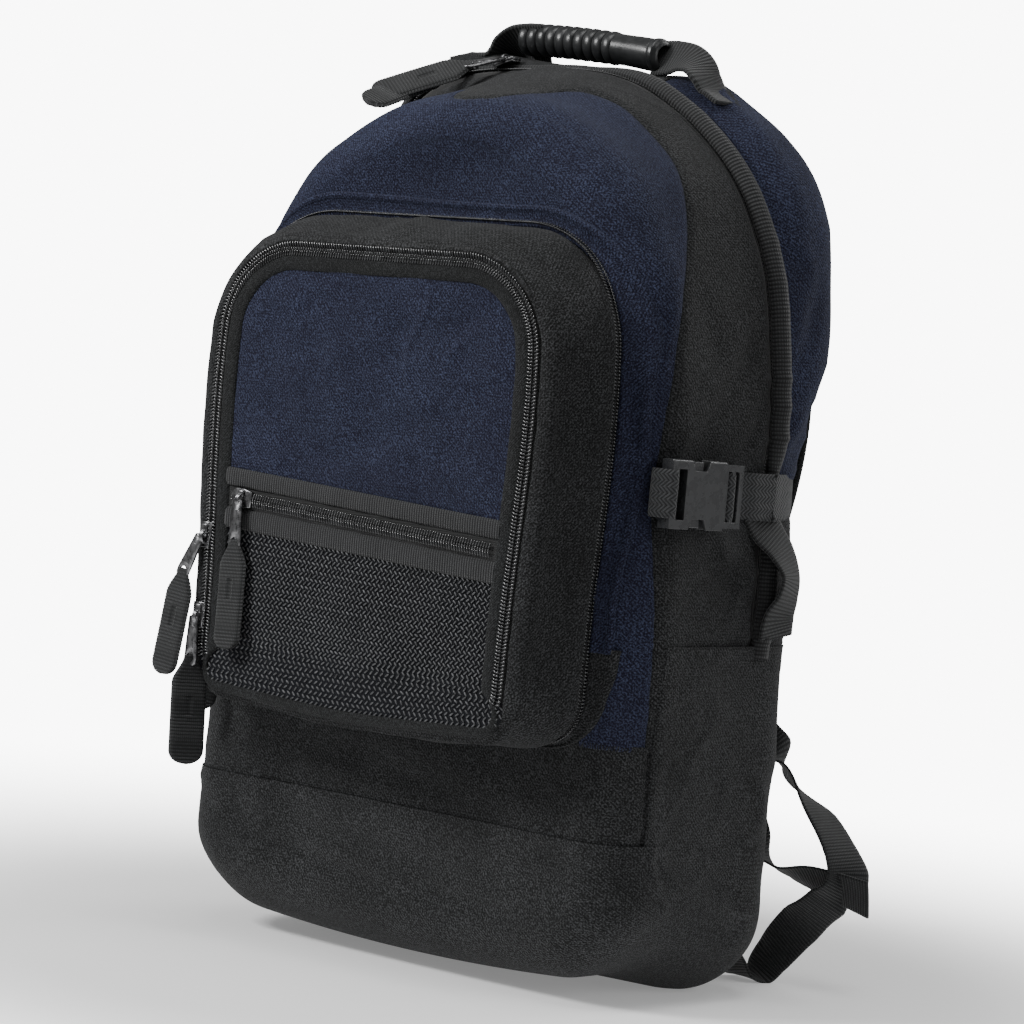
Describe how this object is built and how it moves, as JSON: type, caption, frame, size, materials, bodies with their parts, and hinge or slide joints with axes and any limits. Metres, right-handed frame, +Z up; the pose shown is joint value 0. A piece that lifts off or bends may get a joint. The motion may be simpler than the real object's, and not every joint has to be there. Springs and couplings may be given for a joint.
{
  "type": "school backpack",
  "caption": "School backpack with an arched zip-open main compartment, a deep front pocket with organiser cover, side-release compression straps and a moulded carry handle.",
  "frame": {"origin": "middle of the flat base that the bag stands on", "axes": "+Z up, the front of the bag faces -Y, +X to the right when looking at the front"},
  "size_m": [0.3428, 0.2535, 0.5138],
  "materials": {
    "navy_fabric": "twill weave, slight sheen",
    "black_fabric": "twill weave, matt",
    "lining": "plain coated lining",
    "board": "stiffener sheet",
    "webbing": "ribbed polypropylene webbing",
    "mesh": "open knitted mesh",
    "zip_coil": "nylon coil on woven tape",
    "padded_fabric": "padded weave",
    "buckle_plastic": "fine satin acetal",
    "grip_rubber": "moulded ribbed rubber",
    "zip_metal": "dull die-cast metal",
    "puller": "ribbed webbing pull"
  },
  "bodies": {
    "bag": {"base_panel": "black_fabric", "base_board": "board", "lower_front_panel": "black_fabric", "side_panels": "black_fabric", "rear_gusset": "navy_fabric", "main_zip_rear": "zip_coil", "back_panel": "black_fabric", "back_pads": "mesh", "strap_yoke": "black_fabric", "laptop_divider": "lining", "side_pocket_left": "black_fabric", "side_pocket_right": "black_fabric", "compression_webbing_left": "webbing", "compression_webbing_right": "webbing", "lower_strap_webbing_left": "webbing", "lower_strap_webbing_right": "webbing", "handle_anchors": "webbing"},
    "main_flap": {"front_panel": "navy_fabric", "arch_band": "black_fabric", "main_zip_front": "zip_coil", "pocket_piping": "navy_fabric", "buckle_female_left": "buckle_plastic", "buckle_female_right": "buckle_plastic", "buckle_webbing_left": "webbing", "buckle_webbing_right": "webbing"},
    "front_pocket": {"front_pocket_zip": "zip_coil", "pocket_gusset": "black_fabric", "organiser_back": "lining", "organiser_zip_outer": "zip_coil"},
    "organiser_cover": {"cover_lining": "lining", "cover_binding": "black_fabric", "cover_panel": "navy_fabric", "cover_tape": "webbing", "mesh_zip": "zip_coil", "mesh_pocket": "mesh", "organiser_zip_inner": "zip_coil"},
    "carry_handle": {"handle_grip": "grip_rubber", "handle_webbing": "webbing"},
    "strap_left": {"shoulder_strap_left": "padded_fabric", "ladder_lock_left": "buckle_plastic"},
    "strap_right": {"shoulder_strap_right": "padded_fabric", "ladder_lock_right": "buckle_plastic"},
    "buckle_male_left": {"buckle_male_left": "buckle_plastic"},
    "prong_left_lower": {"buckle_prong_left_lower": "buckle_plastic"},
    "prong_left_upper": {"buckle_prong_left_upper": "buckle_plastic"},
    "buckle_male_right": {"buckle_male_right": "buckle_plastic"},
    "prong_right_lower": {"buckle_prong_right_lower": "buckle_plastic"},
    "prong_right_upper": {"buckle_prong_right_upper": "buckle_plastic"},
    "mesh_zip_slider": {"mesh_zip_slider": "zip_metal"},
    "mesh_zip_pull": {"mesh_zip_pull": "puller"},
    "organiser_slider_upper": {"organiser_slider_upper": "zip_metal"},
    "organiser_pull_upper": {"organiser_pull_upper": "puller"},
    "organiser_slider_lower": {"organiser_slider_lower": "zip_metal"},
    "organiser_pull_lower": {"organiser_pull_lower": "puller"},
    "pocket_zip_slider": {"pocket_zip_slider": "zip_metal"},
    "pocket_zip_pull": {"pocket_zip_pull": "puller"},
    "main_zip_slider_left": {"main_zip_slider_left": "zip_metal"},
    "main_zip_pull_left": {"main_zip_pull_left": "puller"},
    "main_zip_slider_right": {"main_zip_slider_right": "zip_metal"},
    "main_zip_pull_right": {"main_zip_pull_right": "puller"}
  },
  "joints": [
    {"name": "main_flap_open", "type": "hinge", "parent": "bag", "child": "main_flap", "pos_m": [0, -0.075, 0.128], "axis": [1, 0, 0], "range_deg": [0, 25]},
    {"name": "front_pocket_open", "type": "hinge", "parent": "main_flap", "child": "front_pocket", "pos_m": [0, -0.0778, 0.136], "axis": [1, 0, 0], "range_deg": [0, 40]},
    {"name": "organiser_cover_open", "type": "hinge", "parent": "front_pocket", "child": "organiser_cover", "pos_m": [0, -0.1196, 0.15], "axis": [1, 0, 0], "range_deg": [0, 85]},
    {"name": "carry_handle_swing", "type": "hinge", "parent": "bag", "child": "carry_handle", "pos_m": [0, 0.044, 0.4845], "axis": [1, 0, 0], "range_deg": [-20, 20]},
    {"name": "shoulder_strap_left_swing", "type": "hinge", "parent": "bag", "child": "strap_left", "pos_m": [-0.078, 0.08, 0.436], "axis": [1, 0, 0], "range_deg": [0, 60]},
    {"name": "shoulder_strap_right_swing", "type": "hinge", "parent": "bag", "child": "strap_right", "pos_m": [0.078, 0.08, 0.436], "axis": [1, 0, 0], "range_deg": [0, 60]},
    {"name": "buckle_release_left", "type": "slide", "parent": "main_flap", "child": "buckle_male_left", "axis": [-0.1392, 0.9903, 0], "range_m": [0, 0.025]},
    {"name": "prong_squeeze_left_lower", "type": "hinge", "parent": "buckle_male_left", "child": "prong_left_lower", "pos_m": [-0.16612, -0.02784, 0.259], "axis": [-0.9903, -0.1392, 0], "range_deg": [0, 10], "stiffness_Nm_per_rad": 0.3},
    {"name": "prong_squeeze_left_upper", "type": "hinge", "parent": "buckle_male_left", "child": "prong_left_upper", "pos_m": [-0.16612, -0.02784, 0.279], "axis": [0.9903, 0.1392, 0], "range_deg": [0, 10], "stiffness_Nm_per_rad": 0.3},
    {"name": "buckle_release_right", "type": "slide", "parent": "main_flap", "child": "buckle_male_right", "axis": [0.1392, 0.9903, 0], "range_m": [0, 0.025]},
    {"name": "prong_squeeze_right_lower", "type": "hinge", "parent": "buckle_male_right", "child": "prong_right_lower", "pos_m": [0.16612, -0.02784, 0.259], "axis": [-0.9903, 0.1392, 0], "range_deg": [0, 10], "stiffness_Nm_per_rad": 0.3},
    {"name": "prong_squeeze_right_upper", "type": "hinge", "parent": "buckle_male_right", "child": "prong_right_upper", "pos_m": [0.16612, -0.02784, 0.279], "axis": [0.9903, -0.1392, 0], "range_deg": [0, 10], "stiffness_Nm_per_rad": 0.3},
    {"name": "mesh_zip_run", "type": "slide", "parent": "organiser_cover", "child": "mesh_zip_slider", "axis": [0.9985, 0, -0.055], "range_m": [0, 0.172]},
    {"name": "mesh_zip_pull_swing", "type": "hinge", "parent": "mesh_zip_slider", "child": "mesh_zip_pull", "pos_m": [-0.086, -0.1243, 0.23998], "axis": [-1, 0, 0], "range_deg": [0, 80]},
    {"name": "organiser_zip_run_upper", "type": "slide", "parent": "front_pocket", "child": "organiser_slider_upper", "axis": [0, 0, 1], "range_m": [0, 0.1]},
    {"name": "organiser_pull_upper_swing", "type": "hinge", "parent": "organiser_slider_upper", "child": "organiser_pull_upper", "pos_m": [-0.11374, -0.124, 0.21823], "axis": [-0.8829, 0, 0.4695], "range_deg": [0, 80]},
    {"name": "organiser_zip_run_lower", "type": "slide", "parent": "front_pocket", "child": "organiser_slider_lower", "axis": [0, 0, 1], "range_m": [-0.01, 0.006]},
    {"name": "organiser_pull_lower_swing", "type": "hinge", "parent": "organiser_slider_lower", "child": "organiser_pull_lower", "pos_m": [-0.1168, -0.124, 0.174], "axis": [-1, 0, 0], "range_deg": [0, 80]},
    {"name": "pocket_zip_run", "type": "slide", "parent": "front_pocket", "child": "pocket_zip_slider", "axis": [0, 0, 1], "range_m": [-0.01, 0.126]},
    {"name": "pocket_zip_pull_swing", "type": "hinge", "parent": "pocket_zip_slider", "child": "pocket_zip_pull", "pos_m": [-0.135, -0.0873, 0.2], "axis": [0, 1, 0], "range_deg": [0, 80]},
    {"name": "main_zip_run_left", "type": "hinge", "parent": "main_flap", "child": "main_zip_slider_left", "pos_m": [0, 0.025, 0.34193], "axis": [0, 1, 0], "range_deg": [-41, 0]},
    {"name": "main_zip_pull_left_swing", "type": "hinge", "parent": "main_zip_slider_left", "child": "main_zip_pull_left", "pos_m": [-0.07548, 0.023, 0.4781], "axis": [-0.8746, 0, -0.4848], "range_deg": [0, 80]},
    {"name": "main_zip_run_right", "type": "hinge", "parent": "main_flap", "child": "main_zip_slider_right", "pos_m": [0, 0.025, 0.34193], "axis": [0, 1, 0], "range_deg": [0, 85]},
    {"name": "main_zip_pull_right_swing", "type": "hinge", "parent": "main_zip_slider_right", "child": "main_zip_pull_right", "pos_m": [-0.05069, 0.023, 0.48914], "axis": [-0.9455, 0, -0.3256], "range_deg": [0, 80]}
  ]
}
